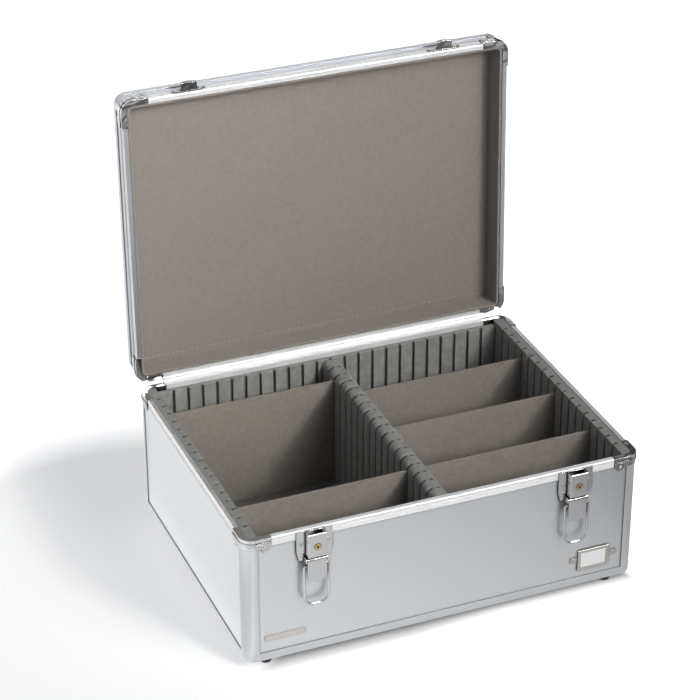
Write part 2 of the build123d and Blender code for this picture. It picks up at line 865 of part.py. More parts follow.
# Assembly
def body_pieces():
    """Every piece of the lower case except the latches and dividers."""
    pieces = {f"case_{name}": shape for name, shape in tray(body_height, base_flange).items()}
    length = case_width - 2 * cap_leg - 2 * seat_gap
    pieces["case_rim_back"] += hinge_bead(length)
    liner = side_liner_block()
    pieces["left_liner"] = liner
    pieces["right_liner"] = mirror(liner, about=Plane.YZ)
    ends = end_liner_block()
    pieces["front_liner"] = ends
    pieces["back_liner"] = mirror(ends, about=Plane.XZ)
    pieces["floor_liner"] = floor_liner_sheet()
    pieces["centre_partition"] = partition_block()
    for x, y in foot_places():
        pieces["case_edge_rail"] -= screw_hole(x, y)
        pieces["case_floor"] -= screw_hole(x, y)
    pieces["feet"] = as_group([foot(x, y) for x, y in foot_places()])
    pieces["foot_screws"] = as_group([foot_screw(x, y) for x, y in foot_places()])
    pieces["label_holder"] = drilled(label_holder(), label_rivet_places(), label_back)
    pieces["label_card"] = label_card()
    pieces["plain_strip"] = plain_strip()
    return pieces


def latch_pieces():
    """The pieces of the two latches."""
    pieces = {}
    for side, x in latch_places.items():
        reach = plate_thickness + panel_back
        pieces[f"{side}_latch_plate"] = drilled(latch_plate(x), latch_rivet_places(x), reach)
        pieces[f"{side}_latch_lever"] = latch_tongue(x)
        pieces[f"{side}_latch_bail"] = latch_bail(x)
        pieces[f"{side}_latch_pin"] = latch_pin(x)
        pieces[f"{side}_lock_barrel"] = lock_barrel(x)
    return pieces


def front_rivets(pieces):
    """Drills the front panel for the latch and label rivets, and returns those rivets."""
    rivets = []
    reach = plate_thickness + panel_back
    for x in latch_places.values():
        places = latch_rivet_places(x)
        pieces["case_front_panel"] = drilled(pieces["case_front_panel"], places, reach)
        rivets += [rivet(place, reach) for place in places]
    places = label_rivet_places()
    reach = label_back + panel_thickness
    pieces["case_front_panel"] = drilled(pieces["case_front_panel"], places, reach)
    return rivets + [rivet(place, reach) for place in places]


def divider_pieces():
    """The five loose dividers."""
    return {
        f"{side}_divider_{number}": divider_board(side, index)
        for side, places in divider_slots.items()
        for number, index in enumerate(places, start=1)
    }


def lid_pieces():
    """Every piece of the lid, turned to where the open lid stands."""
    shut = {f"lid_{name}": shut_lid(shape) for name, shape in tray(lid_height, edge_flange).items()}
    sides = [shut.pop(f"lid_{side}_panel") for side in ("front", "back", "left", "right")]
    shut["lid_side_panels"] = as_group(sides)
    shut["lid_rim_back"] += hinge_socket(case_width - 2 * cap_leg - 2 * seat_gap)
    shut["lid_lining"] = lid_lining()
    rivets = [shut["lid_rivets"]]
    reach = plate_thickness + panel_back
    for side, x in latch_places.items():
        places = keeper_rivet_places(x)
        shut[f"{side}_keeper"] = drilled(keeper(x), places, reach)
        shut["lid_rim_front"] = drilled(shut["lid_rim_front"], places, reach)
        shut["lid_side_panels"] = drilled(shut["lid_side_panels"], places, reach)
        rivets += [rivet(place, reach) for place in places]
    reach = bracket_plate + panel_thickness
    brackets = []
    for side in (-1, 1):
        places = bracket_rivet_places(side)
        brackets.append(drilled(handle_bracket(side), places, reach))
        shut["lid_floor"] = drilled(shut["lid_floor"], places, reach)
        rivets += [rivet(place, reach) for place in places]
    shut["lid_rivets"] = as_group(rivets)
    shut["handle_brackets"] = as_group(brackets)
    shut["handle_grip"] = handle_grip()
    shut["handle_pins"] = as_group([handle_pin(side) for side in (-1, 1)])
    return {name: opened(shape) for name, shape in shut.items()}


def all_pieces():
    """Every node of the case, by name."""
    pieces = body_pieces()
    pieces["case_rivets"] = as_group([pieces["case_rivets"], *front_rivets(pieces)])
    pieces.update(latch_pieces())
    pieces.update(divider_pieces())
    pieces.update(lid_pieces())
    pieces["lid_top_panel"] = pieces.pop("lid_floor")
    return pieces


os.makedirs("parts", exist_ok=True)
for node_name, node_shape in all_pieces().items():
    export_step(node_shape, f"parts/{node_name}.step")
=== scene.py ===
import json
import logging
import math
from dataclasses import dataclass
from enum import Enum
from typing import Mapping, Sequence

import bpy
from mathutils import Matrix, Vector


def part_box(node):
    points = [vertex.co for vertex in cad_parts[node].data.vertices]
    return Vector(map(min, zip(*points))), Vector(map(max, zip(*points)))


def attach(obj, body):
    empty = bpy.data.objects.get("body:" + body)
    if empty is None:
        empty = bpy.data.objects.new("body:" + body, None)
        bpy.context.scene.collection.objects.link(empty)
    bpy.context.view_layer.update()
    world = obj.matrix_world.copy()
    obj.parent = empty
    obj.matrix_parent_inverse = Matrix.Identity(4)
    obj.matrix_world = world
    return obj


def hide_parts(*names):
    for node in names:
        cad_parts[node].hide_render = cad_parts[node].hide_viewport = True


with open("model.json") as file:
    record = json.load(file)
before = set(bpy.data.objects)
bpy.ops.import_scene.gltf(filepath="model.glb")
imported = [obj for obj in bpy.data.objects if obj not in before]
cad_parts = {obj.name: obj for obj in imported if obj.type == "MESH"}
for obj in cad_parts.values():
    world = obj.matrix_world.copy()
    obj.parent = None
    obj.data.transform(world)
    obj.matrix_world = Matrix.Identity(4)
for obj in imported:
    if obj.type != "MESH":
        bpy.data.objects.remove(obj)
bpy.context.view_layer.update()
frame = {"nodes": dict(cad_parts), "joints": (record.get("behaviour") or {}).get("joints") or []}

log = logging.getLogger("coin_case")

MM = 0.001
AO_SAMPLES = 6
Point = tuple[float, float, float]
Pair = tuple[float, float]
Ring = list[Point]
Tree = bpy.types.NodeTree
Node = bpy.types.Node
Socket = bpy.types.NodeSocket
Piece = bpy.types.Object


class Axis(Enum):
    """The direction that an extruded rail was drawn in, with a 1 for each direction across it."""

    X = (0, 1, 1)
    Y = (1, 0, 1)
    Z = (1, 1, 0)
    NONE = (1, 1, 1)


# Nodes and colours


def linear(hex_code: str) -> tuple[float, float, float, float]:
    """Turns an sRGB hex colour to the linear values that a shader takes.

    Args:
        hex_code: six hexadecimal digits, such as "C8CACC".

    Returns:
        Red, green, blue and an alpha of 1.
    """
    parts = [int(hex_code[i:i + 2], 16) / 255 for i in (0, 2, 4)]
    values = [c / 12.92 if c <= 0.04045 else ((c + 0.055) / 1.055) ** 2.4 for c in parts]
    return (*values, 1.0)


def add_node(
    tree: Tree,
    kind: str,
    settings: Mapping[str | int, object] | None = None,
    links: Mapping[str | int, Socket] | None = None,
) -> Node:
    """Adds one node with its settings and links.

    Args:
        tree: the node tree.
        kind: the node's type name, after "ShaderNode".
        settings: properties by their lower-case name, or input values by socket name or number.
        links: for an input's name or number, the output that feeds it.

    Returns:
        The new node.
    """
    node = tree.nodes.new(f"ShaderNode{kind}")
    for name, value in (settings or {}).items():
        if isinstance(name, str) and name.islower():
            setattr(node, name, value)
        else:
            node.inputs[name].default_value = value
    for name, output in (links or {}).items():
        tree.links.new(output, node.inputs[name])
    return node


def compute(tree: Tree, operation: str, *terms: float | Socket) -> Socket:
    """Adds one arithmetic step.

    Args:
        tree: the node tree.
        operation: the step's name, such as "MULTIPLY".
        terms: the numbers and outputs that go in, in order.

    Returns:
        The output that gives the result.
    """
    node = add_node(tree, "Math", {"operation": operation})
    for number, term in enumerate(terms):
        if isinstance(term, float):
            node.inputs[number].default_value = term
        else:
            tree.links.new(term, node.inputs[number])
    return node.outputs[0]


def remap(
    tree: Tree, value: Socket, low: float, high: float, to_low: float = 0.0, to_high: float = 1.0
) -> Socket:
    """Maps what lies from low to high to another range, and keeps the result within that one."""
    ends = {"From Min": low, "From Max": high, "To Min": to_low, "To Max": to_high}
    return add_node(tree, "MapRange", ends, {"Value": value}).outputs[0]


def mix(tree: Tree, share: Socket, first: str | Socket, second: str | Socket) -> Socket:
    """Mixes two colours.

    Args:
        tree: the node tree.
        share: how much of the second colour shows.
        first: a hex colour, or the output that gives one.
        second: another.

    Returns:
        The output that gives the mixed colour.
    """
    node = add_node(tree, "Mix", {"data_type": "RGBA"}, {0: share})
    for number, colour in ((6, first), (7, second)):
        if isinstance(colour, str):
            node.inputs[number].default_value = linear(colour)
        else:
            tree.links.new(colour, node.inputs[number])
    return node.outputs[2]


def stretch(tree: Tree, in_mm: Socket, scale: Point) -> Socket:
    """The coordinates times a scale of their own along each axis."""
    settings = {"operation": "MULTIPLY", 1: scale}
    return add_node(tree, "VectorMath", settings, {0: in_mm}).outputs[0]


def noise(tree: Tree, in_mm: Socket, size: float, detail: float, roughness: float = 0.5) -> Socket:
    """Gives a soft random pattern from 0 to 1, whose largest forms have a size in millimetres."""
    settings = {"Scale": 1 / size, "Detail": detail, "Roughness": roughness}
    return add_node(tree, "TexNoise", settings, {"Vector": in_mm}).outputs["Fac"]


def openness(tree: Tree, reach: float, closed: float, clear: float) -> Socket:
    """Tells how open a place is, from 0 to 1, by the share of directions that are free within a reach."""
    shade = add_node(tree, "AmbientOcclusion", {"samples": AO_SAMPLES, "Distance": reach * MM})
    return remap(tree, shade.outputs["AO"], closed, clear)


def feed(tree: Tree, name: str, value: Socket) -> None:
    """Links an output to an input of the material's Principled BSDF."""
    tree.links.new(value, tree.nodes["Principled BSDF"].inputs[name])


def relief(
    tree: Tree, height: Socket, strength: float, depth: float, normal: Socket | None = None
) -> None:
    """Gives a material a bump.

    Args:
        tree: the material's nodes.
        height: the pattern's height, from 0 to 1.
        strength: how much of the bump shows.
        depth: how far the pattern rises, in millimetres.
        normal: the direction that the bump starts from, where that isn't the face's own.
    """
    links = {"Height": height}
    if normal is not None:
        links["Normal"] = normal
    bump = add_node(tree, "Bump", {"Strength": strength, "Distance": depth * MM}, links)
    feed(tree, "Normal", bump.outputs[0])


def level_ramp(tree: Tree, value: Socket, levels: Sequence[Pair]) -> Socket:
    """Turns a value to a level by straight lines between given places.

    Args:
        tree: the node tree.
        value: what is looked up.
        levels: pairs of a place and the level there, in rising order.

    Returns:
        The output that gives the level.
    """
    first, last = levels[0][0], levels[-1][0]
    ramp = add_node(tree, "ValToRGB", links={0: remap(tree, value, first, last)})
    stops = ramp.color_ramp.elements
    for place, _ in levels[1:-1]:
        stops.new((place - first) / (last - first))
    for stop, (_, level) in zip(stops, levels):
        stop.color = (level, level, level, 1.0)
    return ramp.outputs[0]


@dataclass(frozen=True)
class Finish:
    """A finish of one real material. Its nodes are made once and shared, and its sizes are in millimetres."""

    name: str
    colour: str
    roughness: float
    metallic: float = 0.0

    def material(self) -> bpy.types.Material:
        """Makes the Blender material at the first call, and finds it again at the next.

        Returns:
            The material.
        """
        found = bpy.data.materials.get(self.name)
        if found:
            return found
        made = bpy.data.materials.new(self.name)
        made.use_nodes = True
        tree = made.node_tree
        shader = tree.nodes["Principled BSDF"]
        shader.inputs["Roughness"].default_value = self.roughness
        shader.inputs["Metallic"].default_value = self.metallic
        shader.inputs["Base Color"].default_value = linear(self.colour)
        place = add_node(tree, "TexCoord")
        in_mm = add_node(
            tree, "VectorMath", {"operation": "SCALE", "Scale": 1 / MM},
            {0: place.outputs["Object"]},
        )
        self.dress(tree, in_mm.outputs[0])
        return made

    def dress(self, tree: Tree, in_mm: Socket) -> None:
        """Adds what this finish shows beyond a plain colour.

        Args:
            tree: the material's nodes.
            in_mm: the object's own coordinates, in millimetres.
        """


@dataclass(frozen=True)
class AnodisedAluminium(Finish):
    """Extruded aluminium, etched and anodised: a satin metal with faint lines along the die's direction.

    Its clear oxide layer scatters part of the light, so it stays pale where a mirror would turn dark.
    """

    colour: str = "DFE1E5"
    cloud_colour: str = "D6D9DE"
    seam_shade_colour: str = "3C3E42"
    roughness: float = 0.30
    smoother: float = 0.07
    rougher: float = 0.09
    metallic: float = 0.62
    cloud: float = 50.0
    seam: float = 1.6
    seam_closed: float = 0.45
    seam_open: float = 0.8
    drawn: Axis = Axis.NONE
    line_width: float = 0.35
    line_length: float = 60.0
    line_depth: float = 0.02

    def dress(self, tree: Tree, in_mm: Socket) -> None:
        """Die lines in the roughness and the bump, a slow change of tone, and painted shade in the seams."""
        across = 1 / self.line_width
        along = across if self.drawn is Axis.NONE else 1 / self.line_length
        drawn_out = stretch(tree, in_mm, tuple(across if side else along for side in self.drawn.value))
        lines = noise(tree, drawn_out, size=1.0, detail=3.0, roughness=0.6)
        rough = remap(tree, lines, 0.0, 1.0, self.roughness - self.smoother, self.roughness + self.rougher)
        feed(tree, "Roughness", rough)
        tone = mix(tree, noise(tree, in_mm, self.cloud, detail=2.0), self.colour, self.cloud_colour)
        # Painted shade: the colour turns dark grey where little of the air around is open, in seams and gaps.
        open_air = openness(tree, self.seam, self.seam_closed, self.seam_open)
        feed(tree, "Base Color", mix(tree, open_air, self.seam_shade_colour, tone))
        relief(tree, lines, strength=0.35, depth=self.line_depth)


@dataclass(frozen=True)
class PaintedShade:
    """Painted shade: how a sheet is painted dark where a rail's lip starts and near other parts.

    Its reach is in millimetres. The shares of free directions that count as closed and as clear set how
    steeply it darkens.
    """

    reach: float
    closed: float
    clear: float
    colour: str
    spares_lozenges: bool


@dataclass(frozen=True)
class EmbossedLaminate(Finish):
    """Aluminium foil laminate rolled with a diamond emboss: small bright lozenges between fine grooves.

    The real emboss has a pitch of about 1.5 mm. It is drawn at 2.4 mm, so that it shows at the photo's
    size.
    """

    colour: str = "F8FAFC"
    groove_shade_colour: str = "CDD2D9"
    roughness: float = 0.36
    metallic: float = 0.9
    pitch: float = 2.4
    depth: float = 0.10
    squareness: float = 0.5
    facing_share: float = 0.6
    # Painted shade: a wide one near parts such as the latches, one at a rail's lip, and one in tight joints.
    shadow: PaintedShade = PaintedShade(13.0, 0.5, 0.8, "6E7279", True)
    seam: PaintedShade = PaintedShade(2.8, 0.68, 0.98, "26282D", True)
    joint: PaintedShade = PaintedShade(1.1, 0.55, 0.9, "303338", False)

    def dress(self, tree: Tree, in_mm: Socket) -> None:
        """The lozenges lie in the plane of each face. The grooves are painted darker as shade, and are the
        first to take the painted shade.
        """
        where = add_node(tree, "SeparateXYZ", links={0: in_mm})
        normal = tree.nodes["Texture Coordinate"].outputs["Normal"]
        facing = add_node(tree, "SeparateXYZ", links={0: normal})
        spans = []
        for side in (0, 2):
            size = compute(tree, "ABSOLUTE", facing.outputs[side])
            turned = compute(tree, "GREATER_THAN", size, self.facing_share)
            span = add_node(
                tree, "Mix", {"data_type": "FLOAT"},
                {0: turned, 2: where.outputs[side], 3: where.outputs[1]},
            )
            spans.append(span.outputs[0])
        ridges = []
        for operation in ("ADD", "SUBTRACT"):
            angle = compute(tree, "MULTIPLY", compute(tree, operation, *spans), math.pi / self.pitch)
            ridges.append(compute(tree, "ABSOLUTE", compute(tree, "SINE", angle)))
        raised = compute(tree, "POWER", compute(tree, "MULTIPLY", *ridges), self.squareness)
        # Painted shade: the grooves between the lozenges are painted darker than the raised lozenges.
        surface = mix(tree, raised, self.groove_shade_colour, self.colour)
        # Each pass paints shade where the air around is closed; some spare the raised lozenges.
        for dark in (self.shadow, self.seam, self.joint):
            lit = openness(tree, dark.reach, dark.closed, dark.clear)
            if dark.spares_lozenges:
                lit = compute(tree, "MAXIMUM", lit, raised)
            surface = mix(tree, lit, dark.colour, surface)
        feed(tree, "Base Color", surface)
        relief(tree, raised, strength=0.8, depth=self.depth)


@dataclass(frozen=True)
class PlatedMetal(Finish):
    """Pressed metal with a bright plating: mirror-like, with round edges and a pressing's slow waves."""

    colour: str = "D9DBDD"
    contact_shade_colour: str = "4A443F"
    roughness: float = 0.09
    scuff: float = 0.08
    marks_per_mm: float = 1.4
    marks_shown: Pair = (0.4, 0.7)
    metallic: float = 1.0
    edge_radius: float = 0.35
    contact: float = 8.0
    contact_closed: float = 0.66
    contact_open: float = 1.02
    wave: float = 6.0
    wave_depth: float = 0.10

    def dress(self, tree: Tree, in_mm: Socket) -> None:
        """Pressing waves over round edges, handling marks in the roughness, and painted shade where parts
        meet.
        """
        edges = add_node(tree, "Bevel", {"samples": 4, "Radius": self.edge_radius * MM})
        waves = noise(tree, in_mm, self.wave, detail=0.0)
        relief(tree, waves, strength=0.5, depth=self.wave_depth, normal=edges.outputs[0])
        marks = noise(tree, in_mm, 1 / self.marks_per_mm, detail=4.0, roughness=0.7)
        rough = remap(tree, marks, *self.marks_shown, self.roughness, self.roughness + self.scuff)
        feed(tree, "Roughness", rough)
        # Painted shade: the colour turns dark brown-grey where other parts stand close, as at the keyway.
        open_air = openness(tree, self.contact, self.contact_closed, self.contact_open)
        feed(tree, "Base Color", mix(tree, open_air, self.contact_shade_colour, self.colour))


@dataclass(frozen=True)
class BrushedMetal(Finish):
    """Sheet metal brushed along X: short bright strokes."""

    colour: str = "F2EAE4"
    dull_colour: str = "D5CCC5"
    roughness: float = 0.34
    metallic: float = 1.0
    stroke_width: float = 0.25
    stroke_length: float = 9.0
    stroke_depth: float = 0.02

    def dress(self, tree: Tree, in_mm: Socket) -> None:
        """Strokes in the colour and the bump."""
        fine = 1 / self.stroke_width
        drawn_out = stretch(tree, in_mm, (1 / self.stroke_length, fine, fine))
        strokes = noise(tree, drawn_out, size=1.0, detail=4.0)
        feed(tree, "Base Color", mix(tree, strokes, self.dull_colour, self.colour))
        relief(tree, strokes, strength=0.5, depth=self.stroke_depth)


@dataclass(frozen=True)
class CellFoam(Finish):
    """Cut closed-cell foam: matt grey, with a fine cell pattern on every cut face."""

    colour: str = "A9A8A4"
    dark: str = "8B8A86"
    slot_shade_colour: str = "1C1B1A"
    roughness: float = 0.95
    cell: float = 0.55
    cell_share: float = 0.55
    cell_depth: float = 0.16
    mottle: float = 7.0
    tone_range: Pair = (0.45, 1.05)
    slot_reach: float = 5.0
    slot_closed: float = 0.32
    slot_open: float = 0.66

    def dress(self, tree: Tree, in_mm: Socket) -> None:
        """Cells in the colour and the bump, over a slow mottle, and painted shade in the slots."""
        voronoi = add_node(
            tree, "TexVoronoi", {"feature": "F1", "Scale": 1 / self.cell, "Randomness": 1.0},
            {"Vector": in_mm},
        )
        cells = voronoi.outputs["Distance"]
        mottle = noise(tree, in_mm, self.mottle, detail=4.0, roughness=0.65)
        both = compute(tree, "MULTIPLY_ADD", cells, self.cell_share, mottle)
        tone = mix(tree, remap(tree, both, *self.tone_range), self.colour, self.dark)
        # Painted shade: the slots are painted near black where little of the air around is open.
        open_air = openness(tree, self.slot_reach, self.slot_closed, self.slot_open)
        feed(tree, "Base Color", mix(tree, open_air, self.slot_shade_colour, tone))
        relief(tree, cells, strength=0.6, depth=self.cell_depth)


@dataclass(frozen=True)
class BrushedFleece(Finish):
    """Thin polyester fleece, brushed and glued down: soft, matt, with fibres that catch the light."""

    colour: str = "98908A"
    dark: str = "8A827C"
    sheen_colour: str = "CFC8C0"
    roughness: float = 1.0
    fibre: float = 0.45
    nap: float = 5.0
    nap_share: float = 0.6
    nap_depth: float = 0.14
    tone_range: Pair = (0.55, 1.0)
    sheen: float = 0.18
    sheen_roughness: float = 0.5

    def dress(self, tree: Tree, in_mm: Socket) -> None:
        """Fibres over a cloudy nap, with the sheen of a brushed face."""
        inputs = tree.nodes["Principled BSDF"].inputs
        inputs["Sheen Weight"].default_value = self.sheen
        inputs["Sheen Roughness"].default_value = self.sheen_roughness
        inputs["Sheen Tint"].default_value = linear(self.sheen_colour)
        fibres = noise(tree, in_mm, self.fibre, detail=5.0, roughness=0.7)
        nap = noise(tree, in_mm, self.nap, detail=3.0, roughness=0.6)
        both = compute(tree, "MULTIPLY_ADD", nap, self.nap_share, fibres)
        tone = mix(tree, remap(tree, both, *self.tone_range), self.dark, self.colour)
        feed(tree, "Base Color", tone)
        relief(tree, both, strength=0.5, depth=self.nap_depth)


@dataclass(frozen=True)
class MouldedPlastic(Finish):
    """Moulded rubber or polypropylene with a spark-eroded grain."""

    colour: str = "34353A"
    roughness: float = 0.7
    wear: float = 0.12
    grain: float = 0.7
    grain_depth: float = 0.06

    def dress(self, tree: Tree, in_mm: Socket) -> None:
        """The mould's grain in the bump, and worn high spots in the roughness."""
        grain = noise(tree, in_mm, self.grain, detail=3.0)
        rough = remap(tree, grain, 0.0, 1.0, self.roughness - self.wear, self.roughness + self.wear)
        feed(tree, "Roughness", rough)
        relief(tree, grain, strength=0.6, depth=self.grain_depth)


@dataclass(frozen=True)
class UncoatedCard(Finish):
    """White card with faint paper fibres."""

    colour: str = "FFFFFF"
    fibre_colour: str = "F4F4F2"
    roughness: float = 0.85
    fibre: float = 0.8

    def dress(self, tree: Tree, in_mm: Socket) -> None:
        """Fibres in the colour."""
        fibres = noise(tree, in_mm, self.fibre, detail=4.0)
        feed(tree, "Base Color", mix(tree, fibres, self.fibre_colour, self.colour))


# Meshes


def mesh_object(
    name: str,
    points: Sequence[Point],
    faces: Sequence[Sequence[int]],
    finish: Finish,
    smooth_angle: float = 40.0,
) -> Piece:
    """Makes an object from points in millimetres.

    Args:
        name: the object's name.
        points: its corners, in millimetres, in the part's frame.
        faces: corner numbers of each face.
        finish: what it is made of.
        smooth_angle: edges sharper than this many degrees stay crisp.

    Returns:
        The object, linked to the scene.
    """
    mesh = bpy.data.meshes.new(name)
    mesh.from_pydata([Vector(p) * MM for p in points], [], [list(face) for face in faces])
    mesh.validate()
    mesh.shade_smooth()
    mesh.set_sharp_from_angle(angle=math.radians(smooth_angle))
    mesh.materials.append(finish.material())
    made = bpy.data.objects.new(name, mesh)
    bpy.context.scene.collection.objects.link(made)
    return made


def loft(rings: Sequence[Ring], first: int = 0) -> tuple[list[Point], list[list[int]]]:
    """Joins rings of equal length to a closed skin, with a flat face over each end.

    Args:
        rings: outlines in order, each turning anticlockwise seen from the last towards the first.
        first: the number of the first corner, where the skin joins others in one mesh.

    Returns:
        The corners and the faces.
    """
    count = len(rings[0])
    points = [point for ring in rings for point in ring]
    faces = []
    for row in range(len(rings) - 1):
        for i in range(count):
            j = (i + 1) % count
            low, high = first + row * count, first + (row + 1) * count
            faces.append([low + i, low + j, high + j, high + i])
    faces.append([first + i for i in reversed(range(count))])
    last = first + (len(rings) - 1) * count
    faces.append([last + i for i in range(count)])
    return points, faces


def rounded_outline(half_x: float, half_y: float, radius: float, steps: int = 6) -> list[Pair]:
    """A rectangle with round corners, anticlockwise, centred on the origin.

    Args:
        half_x: half its width.
        half_y: half its depth.
        radius: its corners' radius.
        steps: how many straight pieces make a corner.

    Returns:
        The corners of the outline.
    """
    points = []
    for corner, (sx, sy) in enumerate(((1, 1), (-1, 1), (-1, -1), (1, -1))):
        for step in range(steps + 1):
            angle = math.radians(90 * (corner + step / steps))
            x = sx * (half_x - radius) + radius * math.cos(angle)
            y = sy * (half_y - radius) + radius * math.sin(angle)
            points.append((x, y))
    return points


def node_box(name: str) -> tuple[Vector, Vector]:
    """A CAD node's lowest and highest corners, in millimetres."""
    low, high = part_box(name)
    return Vector(low) / MM, Vector(high) / MM


# Finishes of this case

LONG_RIM = AnodisedAluminium(
    "matt_anodised_rim", colour="FFFFFF", cloud_colour="F4F5F7", metallic=0.3, seam=0.2, line_depth=0.003,
    drawn=Axis.X,
)
SIDE_RIM = AnodisedAluminium(
    "satin_anodised_rim_along_y", colour="FFFFFF", cloud_colour="F4F5F7", metallic=0.85, seam=0.2,
    roughness=0.27, line_depth=0.003, drawn=Axis.Y,
)
LID_SIDE_RIM = AnodisedAluminium(
    "satin_anodised_rim_along_z", colour="D3D8DC", cloud_colour="CACFD3", metallic=0.75, seam=0.5,
    line_depth=0.006, drawn=Axis.Z,
)
POST = AnodisedAluminium("satin_anodised_post", colour="E4E6E9", drawn=Axis.Z)
RAIL_BENT = AnodisedAluminium("anodised_aluminium_bent", roughness=0.34)
LAMINATE = EmbossedLaminate("embossed_aluminium_laminate")
CHROME = PlatedMetal("chrome_plated_steel", wave=9.0, wave_depth=0.5)
PLATE_CHROME = PlatedMetal("chrome_plated_latch_plate", wave=9.0, wave_depth=0.5, contact=2.5)
CAP_CHROME = PlatedMetal("chrome_plated_pressing", wave=12.0, wave_depth=2.0)
NICKEL = PlatedMetal(
    "nickel_plated_steel", colour="DEDBD4", contact_shade_colour="5A554E", roughness=0.3, contact=1.5
)
BRASS = PlatedMetal("polished_brass", colour="DDC27C", roughness=0.18, wave_depth=0.03)
ZINC = PlatedMetal("zinc_plated_steel", colour="A9ABAA", roughness=0.30)
STRIP = BrushedMetal("brushed_nickel_silver")
SATIN_SHEET = AnodisedAluminium(
    "satin_anodised_sheet", colour="DCDFE6", cloud_colour="D5D9E1", seam=2.6, seam_open=1.0
)
FOAM = CellFoam("grey_closed_cell_foam")
FLEECE = BrushedFleece("taupe_brushed_fleece")
BOARD = BrushedFleece("fleece_covered_board", colour="9C948C", dark="857D76", fibre=0.5, sheen=0.08)
FLOOR_FELT = BrushedFleece("grey_needle_felt", colour="7E7C79", dark="68665F", sheen=0.05)
THREAD = BrushedFleece("polyester_thread", colour="C6BEB4", dark="A8A096", fibre=0.3, sheen=0.15)
RUBBER = MouldedPlastic("moulded_rubber")
GRIP = MouldedPlastic("moulded_polypropylene", colour="232427", roughness=0.48)
CARD = UncoatedCard("white_uncoated_card")


# The lid's place


@dataclass(frozen=True)
class LidHinge:
    """Turns what is drawn on the shut lid to where the open lid stands."""

    turn: Matrix

    @classmethod
    def from_frame(cls) -> "LidHinge":
        """Reads the hinge's axis and its opening angle from the part's joints.

        Returns:
            The hinge, with the lid open.
        """
        joint = next(j for j in frame["joints"] if j["name"] == "lid_hinge")
        place = Vector(joint["pos_m"]) / MM
        angle = math.radians(min(joint["range_deg"]))
        swing = Matrix.Translation(place) @ Matrix.Rotation(angle, 4, "X") @ Matrix.Translation(-place)
        return cls(swing)

    def opened(self, points: Sequence[Point]) -> list[Point]:
        """The points as they are with the lid open."""
        return [tuple(self.turn @ Vector(p)) for p in points]


# Sub-assemblies


